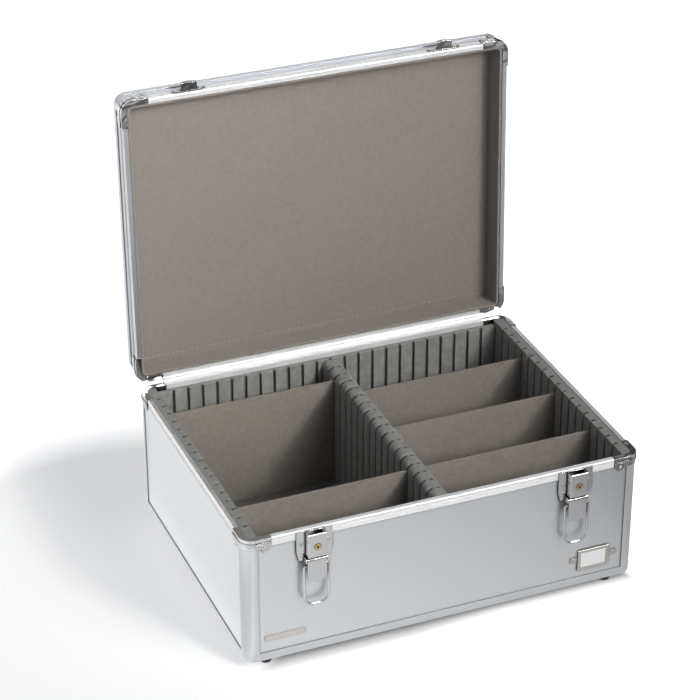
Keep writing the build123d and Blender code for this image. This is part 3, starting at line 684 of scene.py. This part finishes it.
@dataclass
class FoamFittings:
    """The slotted foam along the walls, the rounded wall between the spaces, and the felt on the floor.

    All sizes are in millimetres.
    """

    pitch: float = 15.25
    slot: float = 3.0
    side_slots: int = 17
    end_slots: int = 23
    side_depth: float = 5.8
    end_depth: float = 3.0
    mouth: float = 0.6
    mouth_segments: int = 3
    mouth_angle: float = 40.0
    lobe: float = 1.3
    lobe_angles: tuple[float, ...] = (0, 22, 45, 67, 90)
    lobe_drop: float = 0.5
    shoulder: float = 6.0
    shoulder_steps: int = 7
    core_drop: float = 0.6
    tongue: float = 1.2
    tongue_drop: float = 6.0
    tongue_corner: float = 0.3
    felt_corner: float = 2.0
    felt_roll: tuple[Pair, ...] = ((0.8, 0.0), (0.25, 0.3), (0.0, 1.0))

    def slots(self, count: int) -> list[float]:
        """The middles of a row of slots."""
        return [self.pitch * (i - (count - 1) / 2) for i in range(count)]

    def comb(self, ends: Pair, across: Pair, depth: float, count: int) -> list[Pair]:
        """A strip's outline with its slots, as (along, across) from its first back corner.

        Args:
            ends: where the strip starts and ends, along its wall.
            across: its glued side and its slotted side.
            depth: how deep the slots are.
            count: how many slots the row has before it is cut to length.

        Returns:
            The corners of the outline.
        """
        low, high = ends
        back, face = across
        bottom = face - depth if face > back else face + depth
        points = [(low, back), (low, face)]
        for middle in self.slots(count):
            if low + self.slot < middle < high - self.slot:
                near, far = middle - self.slot / 2, middle + self.slot / 2
                points += [(near, face), (near, bottom), (far, bottom), (far, face)]
        return points + [(high, face), (high, back)]

    def wall_strip(self, node: str, along: Axis) -> Piece:
        """One strip of slotted foam, with soft cut edges.

        Args:
            node: the CAD node that it stands for.
            along: the direction of its wall.

        Returns:
            The piece.
        """
        low, high = node_box(node)
        if along is Axis.Y:
            across = (low.x, high.x) if low.x < 0 else (high.x, low.x)
            comb = self.comb((low.y, high.y), across, self.side_depth, self.side_slots)
            outline = [(x, y) for y, x in comb]
        else:
            across = (low.y, high.y) if low.y < 0 else (high.y, low.y)
            outline = self.comb((low.x, high.x), across, self.end_depth, self.end_slots)
        turning = sum(a[0] * b[1] - a[1] * b[0] for a, b in zip(outline, outline[1:] + outline[:1]))
        if turning < 0:
            outline.reverse()
        rings = [[(x, y, z) for x, y in outline] for z in (low.z, high.z)]
        piece = mesh_object(f"{node}_foam", *loft(rings), FOAM)
        bevel = piece.modifiers.new("soft_edges", "BEVEL")
        bevel.width = self.mouth * MM
        bevel.segments = self.mouth_segments
        bevel.limit_method = "ANGLE"
        bevel.angle_limit = math.radians(self.mouth_angle)
        bevel.harden_normals = False
        return piece

    def wall_profile(self, half: float, top: float, low: float, radius: float, y: float) -> Ring:
        """The partition's cross-section at one place along it, anticlockwise seen from the front.

        Args:
            half: half its thickness there.
            top: how high it stands there.
            low: where it starts.
            radius: the radius of its two upper corners.
            y: the place along it.

        Returns:
            The corners of the cross-section.
        """
        radius = min(radius, half)
        ring = [(half, y, low)]
        for side, start in ((1, 0), (-1, 90)):
            for step in range(self.shoulder_steps + 1):
                angle = math.radians(start + 90 * step / self.shoulder_steps)
                x = side * (half - radius) + radius * math.cos(angle)
                ring.append((x, y, top - radius + radius * math.sin(angle)))
        return ring + [(-half, y, low)]

    def partition(self) -> Piece:
        """The wall between the spaces: a row of rounded lobes with a slot between each two.

        Returns:
            The piece.
        """
        node = "centre_partition"
        low, high = node_box(node)
        half, top = high.x, high.z
        end = high.y - self.end_depth

        def tongue(y: float) -> Ring:
            """The tongue's cross-section, which fills the end liner's slot."""
            return self.wall_profile(self.tongue, top - self.tongue_drop, low.z, self.tongue_corner, y)

        def core(y: float) -> Ring:
            """The cross-section between two lobes."""
            return self.wall_profile(half - self.side_depth, top - self.core_drop, low.z, self.shoulder, y)

        turns = [math.radians(angle) for angle in self.lobe_angles]
        rounding = [(self.lobe * (1 - math.cos(a)), self.lobe * (1 - math.sin(a))) for a in turns]
        edges = [-end]
        for middle in self.slots(self.side_slots):
            if abs(middle) < end - self.slot:
                edges += [middle - self.slot / 2, middle + self.slot / 2]
        edges.append(end)
        rings = [tongue(-high.y), tongue(-end)]
        for start, stop in zip(edges[::2], edges[1::2]):
            if start > -end:
                rings.append(core(start))
            near = [(start + run, inset) for run, inset in rounding]
            far = [(stop - run, inset) for run, inset in reversed(rounding)]
            for y, inset in near + far:
                crest = top - self.lobe_drop * inset
                rings.append(self.wall_profile(half - inset, crest, low.z, self.shoulder, y))
            if stop < end:
                rings.append(core(stop))
        rings += [tongue(end), tongue(high.y)]
        return mesh_object(f"{node}_foam", *loft(rings), FOAM, smooth_angle=50.0)

    def floor_felt(self) -> Piece:
        """The felt on the case's floor, with a rolled edge.

        Returns:
            The piece.
        """
        node = "floor_liner"
        low, high = node_box(node)
        levels = [(low.z, 0.0)] + [(high.z - drop, inset) for drop, inset in self.felt_roll]
        rings = []
        for z, inset in levels:
            outline = rounded_outline(high.x - inset, high.y - inset, self.felt_corner)
            rings.append([(x, y, z) for x, y in outline])
        return mesh_object(f"{node}_felt", *loft(rings), FLOOR_FELT)

    def build(self) -> None:
        """Makes the foam and felt pieces and puts them on the case."""
        walls = {"left": Axis.Y, "right": Axis.Y, "front": Axis.X, "back": Axis.X}
        pieces = {}
        for side, along in walls.items():
            pieces[f"{side}_liner"] = self.wall_strip(f"{side}_liner", along)
        pieces["centre_partition"] = self.partition()
        pieces["floor_liner"] = self.floor_felt()
        for node, piece in pieces.items():
            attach(piece, "case")
            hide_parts(node)
            log.info("%s stands for %s", piece.name, node)


@dataclass
class Dividers:
    """The loose boards, each covered with fleece that is folded over its edges."""

    names: tuple[str, ...] = (
        "left_divider_1", "left_divider_2", "right_divider_1", "right_divider_2", "right_divider_3",
    )
    corner: float = 3.0
    edge: float = 0.8
    rolled: tuple[Pair, ...] = ((0.0, 1.0), (0.25, 0.3), (1.0, 0.0))

    def board(self, node: str) -> Piece:
        """One board with rounded edges and corners.

        Args:
            node: the CAD node that it stands for.

        Returns:
            The piece.
        """
        low, high = node_box(node)
        middle = (low + high) / 2
        half_x, half_z = (high.x - low.x) / 2, (high.z - low.z) / 2
        half_y = (high.y - low.y) / 2
        rounds = [(-half_y + run * self.edge, inset * self.edge) for run, inset in self.rolled]
        steps = rounds + [(-y, inset) for y, inset in reversed(rounds)]
        rings = []
        for y, inset in steps:
            outline = rounded_outline(half_x - inset, half_z - inset, self.corner)
            rings.append([(middle.x + x, middle.y + y, middle.z + z) for x, z in outline])
        rings.reverse()
        return mesh_object(f"{node}_board", *loft(rings), BOARD)

    def build(self) -> None:
        """Makes each board, on its own body."""
        for node in self.names:
            piece = self.board(node)
            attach(piece, node)
            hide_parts(node)
            log.info("%s stands for %s", piece.name, node)


@dataclass
class LidLining:
    """The lid's fleece lining: a padded panel, a rim of covered walls, and a seam along the hinge side.

    All sizes are in millimetres.
    """

    hinge: LidHinge
    wall: float = 3.0
    panel: float = 2.5
    corner: float = 6.7
    roll: float = 0.9
    dip: float = 0.7
    dip_reach: float = 3.5
    tuck: float = 0.4
    least_panel: float = 0.6
    roll_share: float = 0.3
    skirt: tuple[Pair, ...] = ((0.0, -1.5), (0.25, -0.4), (0.9, 0.2), (0.9, 1.0))
    least_corner: float = 1.2
    corner_steps: int = 8
    seam_inset: float = 6.0
    seam_depth: float = 0.45
    seam_width: float = 0.9
    seam_rows: tuple[float, ...] = (-1.8, -1.2, -0.6, 0, 0.6, 1.2, 1.8)
    stitch_pitch: float = 5.0
    stitch_length: float = 2.8
    stitch_radius: float = 0.32
    stitch_taper: float = 0.45
    stitch_sink: float = 0.25
    stitch_rise: float = 0.55
    stitch_margin: float = 5.0
    stitch_steps: int = 6
    columns: int = 130
    rows: int = 100
    smooth_angle: float = 60.0

    def __post_init__(self) -> None:
        """Reads the lining's box on the shut lid."""
        shut = self.hinge.turn.inverted()
        node = frame["nodes"]["lid_lining"]
        corners = [shut @ (vertex.co / MM) for vertex in node.data.vertices]
        self.low = Vector(min(c[i] for c in corners) for i in range(3))
        self.high = Vector(max(c[i] for c in corners) for i in range(3))
        self.face = self.high.z - self.panel
        self.seam = self.high.y - self.wall - self.seam_inset

    def panel_height(self, x: float, y: float) -> float:
        """How far the panel's face lies behind its highest plane.

        Args:
            x: the place along the hinge.
            y: the place across it.

        Returns:
            The depth there, in millimetres.
        """
        fall = 0.0
        for place, end in ((x, self.high.x), (y, self.high.y)):
            fall += math.exp(-max(end - self.wall - abs(place), 0) / self.dip_reach)
        groove = self.seam_depth * math.exp(-(((y - self.seam) / self.seam_width) ** 2))
        return min(self.dip * fall + groove, self.panel - self.least_panel)

    def graded(self, half: float, count: int, extra: Sequence[float] = ()) -> list[float]:
        """Places from one edge to the other, closer together near both edges.

        Args:
            half: half the distance between the edges.
            count: how many steps lie between them.
            extra: more places, where the face needs them.

        Returns:
            The places in rising order.
        """
        places = [half * math.sin(math.pi * (i / count - 0.5)) for i in range(count + 1)]
        return sorted(set(round(p, 4) for p in [*places, *extra]))

    def padded_panel(self) -> Piece:
        """The panel over the lid's inside, slightly sunk along its edges and its seam.

        Returns:
            The piece.
        """
        inset = self.wall - self.tuck
        xs = self.graded(self.high.x - inset, self.columns)
        ys = self.graded(self.high.y - inset, self.rows, [self.seam + away for away in self.seam_rows])
        front = [(x, y, self.face + self.panel_height(x, y)) for y in ys for x in xs]
        wide, tall = len(xs), len(ys)
        rim = [(i, 0) for i in range(wide)] + [(wide - 1, j) for j in range(1, tall)]
        rim += [(i, tall - 1) for i in reversed(range(wide - 1))]
        rim += [(0, j) for j in reversed(range(1, tall - 1))]
        back = [(xs[i], ys[j], self.high.z) for i, j in rim]
        faces = []
        for j in range(tall - 1):
            for i in range(wide - 1):
                a = j * wide + i
                faces.append([a, a + wide, a + wide + 1, a + 1])
        first = wide * tall
        count = len(rim)
        for k in range(count):
            m = (k + 1) % count
            a, b = (rim[n][1] * wide + rim[n][0] for n in (k, m))
            faces.append([a, b, first + m, first + k])
        faces.append([first + k for k in range(count)])
        points = self.hinge.opened(front + back)
        return mesh_object("lid_lining_panel", points, faces, FLEECE, self.smooth_angle)

    def covered_walls(self) -> Piece:
        """The covered walls around the panel, with the fleece rolled over their edge.

        Returns:
            The piece.
        """
        low, face = self.low.z, self.face
        middle = self.roll_share * self.roll
        edge = [(0.0, self.roll), (middle, middle), (self.roll, 0.0)]
        profile = [(0.0, face)] + [(inset, low + rise) for inset, rise in edge]
        profile += [(self.wall - inset, low + rise) for inset, rise in reversed(edge)]
        profile += [(self.wall + out, face + rise) for out, rise in self.skirt]
        profile.append((0.0, profile[-1][1]))
        rings = []
        for inset, z in profile:
            radius = max(self.corner - inset, self.least_corner)
            half_x, half_y = self.high.x - inset, self.high.y - inset
            outline = rounded_outline(half_x, half_y, radius, self.corner_steps)
            rings.append([(x, y, z) for x, y in outline])
        count = len(rings[0])
        points = self.hinge.opened([p for ring in rings for p in ring])
        faces = []
        for row in range(len(rings)):
            near, far = row * count, (row + 1) % len(rings) * count
            for i in range(count):
                j = (i + 1) % count
                faces.append([near + i, far + i, far + j, near + j])
        return mesh_object("lid_lining_walls", points, faces, FLEECE, self.smooth_angle)

    def stitches(self) -> Piece:
        """The seam's stitches: short arched threads that dip into the fleece at both ends.

        Returns:
            The piece.
        """
        span = self.high.x - self.wall - self.stitch_margin
        count = int(2 * span / self.stitch_pitch)
        turns = [2 * math.pi * step / self.stitch_steps for step in range(self.stitch_steps)]
        points: list[Point] = []
        faces: list[list[int]] = []
        for number in range(count + 1):
            middle = (number - count / 2) * self.stitch_pitch
            rings = []
            for arc in range(self.stitch_steps + 1):
                share = arc / self.stitch_steps
                lift = math.sin(math.pi * share)
                x = middle + self.stitch_length * (share - 0.5)
                z = self.face + self.seam_depth + self.stitch_sink - self.stitch_rise * lift
                radius = self.stitch_radius * (1 - self.stitch_taper + self.stitch_taper * lift)
                around = [(radius * math.cos(angle), radius * math.sin(angle)) for angle in turns]
                rings.append([(x, self.seam + side, z + up) for side, up in around])
            made, skin = loft(rings, len(points))
            points += made
            faces += skin
        points = self.hinge.opened(points)
        return mesh_object("lid_lining_stitches", points, faces, THREAD, self.smooth_angle)

    def build(self) -> None:
        """Makes the lining's pieces and puts them on the lid."""
        panel, walls, thread = self.padded_panel(), self.covered_walls(), self.stitches()
        for piece in (panel, walls, thread):
            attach(piece, "lid")
        for piece in (panel, walls):
            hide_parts("lid_lining")
            log.info("%s stands for lid_lining", piece.name)


@dataclass
class Metalwork:
    """The rails, panels and fittings, whose CAD shapes stay and get their real finishes."""

    trays: tuple[str, ...] = ("case", "lid")
    sides: tuple[str, ...] = ("left", "right")
    ends: tuple[str, ...] = ("front", "back")
    latch: tuple[str, ...] = ("latch_lever", "latch_bail", "keeper")

    def looks(self) -> dict[Finish, list[str]]:
        """Tells which CAD nodes have which finish.

        Returns:
            The nodes' names by finish.
        """
        walls = [f"case_{side}_panel" for side in self.ends + self.sides]
        return {
            LONG_RIM: [f"{tray}_rim_{end}" for tray in self.trays for end in self.ends],
            SIDE_RIM: [f"case_rim_{side}" for side in self.sides],
            LID_SIDE_RIM: [f"lid_rim_{side}" for side in self.sides],
            POST: [f"{tray}_posts" for tray in self.trays],
            RAIL_BENT: [f"{tray}_edge_rail" for tray in self.trays],
            LAMINATE: [*walls, "case_floor", "lid_top_panel"],
            SATIN_SHEET: ["lid_side_panels"],
            CAP_CHROME: ["case_caps", "lid_caps", "handle_brackets"],
            PLATE_CHROME: [f"{side}_latch_plate" for side in self.sides],
            CHROME: [f"{side}_{piece}" for side in self.sides for piece in self.latch],
            ZINC: [*(f"{side}_latch_pin" for side in self.sides), "foot_screws", "handle_pins"],
            BRASS: [f"{side}_lock_barrel" for side in self.sides],
            NICKEL: ["case_rivets", "lid_rivets", "label_holder"],
            STRIP: ["plain_strip"],
            RUBBER: ["feet"],
            GRIP: ["handle_grip"],
            CARD: ["label_card"],
        }

    def build(self) -> None:
        """Gives each CAD node its finish."""
        for finish, names in self.looks().items():
            for name in names:
                node = frame["nodes"][name]
                if node.material_slots:
                    for slot in node.material_slots:
                        slot.material = finish.material()
                else:
                    node.data.materials.append(finish.material())
            log.info("%s: %d nodes", finish.name, len(names))


@dataclass(frozen=True)
class SoftBox:
    """A square lamp. Its places and its side are in metres, its power in watts, its beam in degrees."""

    name: str
    place: Point
    target: Point
    size: float
    power: float
    spread: float
    colour: str = "FFFEFC"

    def build(self) -> None:
        """Hangs the lamp, pointed at its target."""
        data = bpy.data.lights.new(self.name, "AREA")
        data.shape = "SQUARE"
        data.size = self.size
        data.energy = self.power
        data.spread = math.radians(self.spread)
        data.color = linear(self.colour)[:3]
        made = bpy.data.objects.new(self.name, data)
        made.location = self.place
        made.rotation_mode = "QUATERNION"
        made.rotation_quaternion = (Vector(self.target) - Vector(self.place)).to_track_quat("-Z", "Y")
        bpy.context.scene.collection.objects.link(made)


@dataclass
class Studio:
    """A pale floor, soft light from the front right, and the photo's camera.

    Places are in metres, the floor's height is in millimetres, and the camera's angles are in degrees. The
    floor's levels are pairs of a place and a brightness there. The surround's are pairs of a direction and
    a brightness: its bands go by height, its side levels by right less depth. The contact shadow is given
    side by side, by an axis and the places where it starts to fade and ends.
    """

    camera_place: Point = (-0.8272, -1.9238, 1.3984)
    camera_yaw: float = 22.37
    camera_drop: float = 29.5
    camera_reach: float = 50.0
    focal_pixels: float = 2525.9
    image_pixels: float = 700.0
    sensor: float = 36.0
    floor_level: float = -8.0
    floor_reach: float = 12.0
    floor_colour: str = "FAFAFA"
    floor_lift: float = 0.445
    shadow_middle: Point = (-0.22, 0.02, -0.008)
    shadow_edge: Pair = (0.25, 0.325)
    across_levels: tuple[Pair, ...] = (
        (-0.45, 1.4), (-0.31, 0.92), (-0.225, 0.99), (-0.212, 1.3), (-0.203, 1.3), (-0.197, 0.84),
        (0.0, 0.70), (0.2, 0.53), (0.30, 0.2), (0.38, 0.2), (0.46, 0.6),
    )
    along_levels: tuple[Pair, ...] = (
        (-1.30, 0.9), (-1.16, 0.9), (-1.10, 0.1), (-0.88, 0.1), (-0.82, 1.0), (-0.68, 1.0), (-0.62, 0.1),
        (-0.54, 0.1), (-0.44, 1.0),
    )
    contact_shade_colour: str = "8C8C8C"
    contact: tuple[tuple[int, float, float], ...] = (
        (1, -0.130, -0.161), (0, 0.19, 0.212), (0, -0.15, -0.19), (1, 0.15, 0.19),
    )
    fill: float = 0.21
    fill_colour: str = "EEF3FA"
    side_levels: tuple[Pair, ...] = (
        (-1.4, 1.08), (-0.65, 1.08), (-0.58, 1.4), (-0.5, 1.4), (-0.43, 0.75), (-0.41, 0.06),
        (-0.29, 0.06), (-0.25, 0.3), (0.0, 0.7), (0.9, 0.55), (1.2, 0.36),
    )
    bands: tuple[Pair, ...] = (
        (0.0, 0.15), (0.10, 0.15), (0.13, 1.0), (0.28, 1.0), (0.30, 0.15), (0.345, 0.15), (0.365, 1.0),
        (0.465, 1.0), (0.475, 0.25), (0.495, 0.25), (0.505, 1.3), (0.525, 1.3), (0.535, 0.45), (0.58, 0.45),
        (0.59, 1.4), (0.90, 1.5), (0.93, 0.3), (1.0, 0.3),
    )
    lamps: tuple[SoftBox, ...] = (
        SoftBox("key_softbox", (1.25, -2.35, 2.1), (0.0, 0.0, 0.2), size=1.6, power=50.0, spread=180.0),
        SoftBox("lining_spot", (1.1, -2.5, 1.9), (-0.24, 0.15, 0.42), size=0.7, power=1.1, spread=18.0),
    )

    def camera(self) -> None:
        """The camera that was fitted to the case's edges in the photo."""
        yaw, drop = math.radians(self.camera_yaw), math.radians(self.camera_drop)
        forward = Vector((math.sin(yaw) * math.cos(drop), math.cos(yaw) * math.cos(drop), -math.sin(drop)))
        data = bpy.data.cameras.new("photo_camera")
        data.sensor_width = self.sensor
        data.lens = self.focal_pixels * self.sensor / self.image_pixels
        data.clip_end = self.camera_reach
        made = bpy.data.objects.new("photo_camera", data)
        made.location = self.camera_place
        made.rotation_mode = "QUATERNION"
        made.rotation_quaternion = forward.to_track_quat("-Z", "Y")
        bpy.context.scene.collection.objects.link(made)
        bpy.context.scene.camera = made

    def glow(self, tree: Tree, strength: Socket) -> Socket:
        """White light of a given strength."""
        settings = {"Color": (1, 1, 1, 1)}
        return add_node(tree, "Emission", settings, {"Strength": strength}).outputs[0]

    def either(self, tree: Tree, test: Socket, otherwise: Socket, shown: Socket) -> Socket:
        """One shader where the test holds, and another where it doesn't."""
        return add_node(tree, "MixShader", links={0: test, 1: otherwise, 2: shown}).outputs[0]

    def beyond_case(self, tree: Tree, where: Node) -> Socket:
        """Tells the floor beneath the case from the floor around it, for the painted contact shadow.

        Args:
            tree: the floor's nodes.
            where: the node that gives the place on the floor.

        Returns:
            The output that gives 0 beneath the case and 1 beyond its contact shadow.
        """
        clear = None
        for axis, start, end in self.contact:
            beyond = add_node(
                tree, "MapRange",
                {"interpolation_type": "SMOOTHSTEP", "From Min": start, "From Max": end},
                {"Value": where.outputs[axis]},
            )
            level = beyond.outputs[0]
            clear = level if clear is None else compute(tree, "MAXIMUM", level, clear)
        return clear

    def floor(self) -> None:
        """A pale floor that keeps the shadow, with painted shadow darkening it beside the case and near its
        footprint.

        Its lift brings the shadow to the photo's tone and the rest to white. The metal sees a floor of its
        own, with bright and dark areas.
        """
        reach, level = self.floor_reach, self.floor_level * MM
        corners = [(x * reach, y * reach, level) for x, y in ((-1, -1), (1, -1), (1, 1), (-1, 1))]
        mesh = bpy.data.meshes.new("studio_floor")
        mesh.from_pydata(corners, [], [(0, 1, 2, 3)])
        made = bpy.data.objects.new("studio_floor", mesh)
        bpy.context.scene.collection.objects.link(made)
        material = bpy.data.materials.new("studio_floor_paper")
        material.use_nodes = True
        tree = material.node_tree
        tree.nodes.clear()
        rays = add_node(tree, "LightPath")
        place = add_node(tree, "TexCoord")
        where = add_node(tree, "SeparateXYZ", links={0: place.outputs["Object"]})
        across = level_ramp(tree, where.outputs[0], self.across_levels)
        along = level_ramp(tree, where.outputs[1], self.along_levels)
        mirrored = self.glow(tree, compute(tree, "MULTIPLY", across, along))
        away = add_node(
            tree, "VectorMath", {"operation": "DISTANCE", 1: self.shadow_middle},
            {0: place.outputs["Object"]},
        )
        # Painted shadow: the glow drops to floor_lift within a disc beside the case, darkening the floor over
        # the real shadow.
        lift = remap(tree, away.outputs["Value"], *self.shadow_edge, self.floor_lift, 1.0)
        # Painted contact shadow: near the case's footprint the floor's colour turns grey and its glow fades.
        clear = self.beyond_case(tree, where)
        tone = mix(tree, clear, self.contact_shade_colour, self.floor_colour)
        ground = add_node(tree, "BsdfDiffuse", links={"Color": tone})
        glow = self.glow(tree, compute(tree, "MULTIPLY", lift, clear))
        lit = add_node(tree, "AddShader", links={0: ground.outputs[0], 1: glow})
        paper = add_node(tree, "BsdfDiffuse", {"Color": linear(self.floor_colour)})
        camera = self.either(tree, rays.outputs["Is Camera Ray"], paper.outputs[0], lit.outputs[0])
        both = self.either(tree, rays.outputs["Is Glossy Ray"], camera, mirrored)
        add_node(tree, "OutputMaterial", links={0: both})
        mesh.materials.append(material)

    def world(self) -> None:
        """A white surround for the camera, one with dark gaps for the metal, and a dim fill light."""
        world = bpy.data.worlds.new("studio_surround")
        bpy.context.scene.world = world
        world.use_nodes = True
        tree = world.node_tree
        tree.nodes.clear()
        rays = add_node(tree, "LightPath")
        place = add_node(tree, "TexCoord")
        toward = add_node(tree, "SeparateXYZ", links={0: place.outputs["Generated"]})
        apart = compute(tree, "SUBTRACT", toward.outputs[0], toward.outputs[1])
        by_height = level_ramp(tree, toward.outputs[2], self.bands)
        by_side = level_ramp(tree, apart, self.side_levels)
        mirror = compute(tree, "MULTIPLY", by_height, by_side)
        colour = linear(self.fill_colour)
        fill = add_node(tree, "Background", {"Color": colour, "Strength": self.fill})
        mirrored = add_node(tree, "Background", {"Color": (1, 1, 1, 1)}, {"Strength": mirror})
        white = add_node(tree, "Background", {"Color": (1, 1, 1, 1), "Strength": 1.0})
        kinds = [rays.outputs[f"Is {kind} Ray"] for kind in ("Glossy", "Transmission")]
        glossy = compute(tree, "MAXIMUM", *kinds)
        metal = self.either(tree, glossy, fill.outputs[0], mirrored.outputs[0])
        seen = self.either(tree, rays.outputs["Is Camera Ray"], metal, white.outputs[0])
        add_node(tree, "OutputWorld", links={0: seen})

    def build(self) -> None:
        """Sets up the camera, the floor, the lamps and the world."""
        bpy.context.scene.view_settings.view_transform = "Standard"
        self.camera()
        self.floor()
        self.world()
        for lamp in self.lamps:
            lamp.build()


def main() -> None:
    """Builds the case's looks and the studio around it, in order."""
    logging.basicConfig(level=logging.INFO, format="%(name)s: %(message)s")
    Studio().build()
    Metalwork().build()
    FoamFittings().build()
    Dividers().build()
    LidLining(LidHinge.from_frame()).build()


if __name__ == "__main__":
    main()
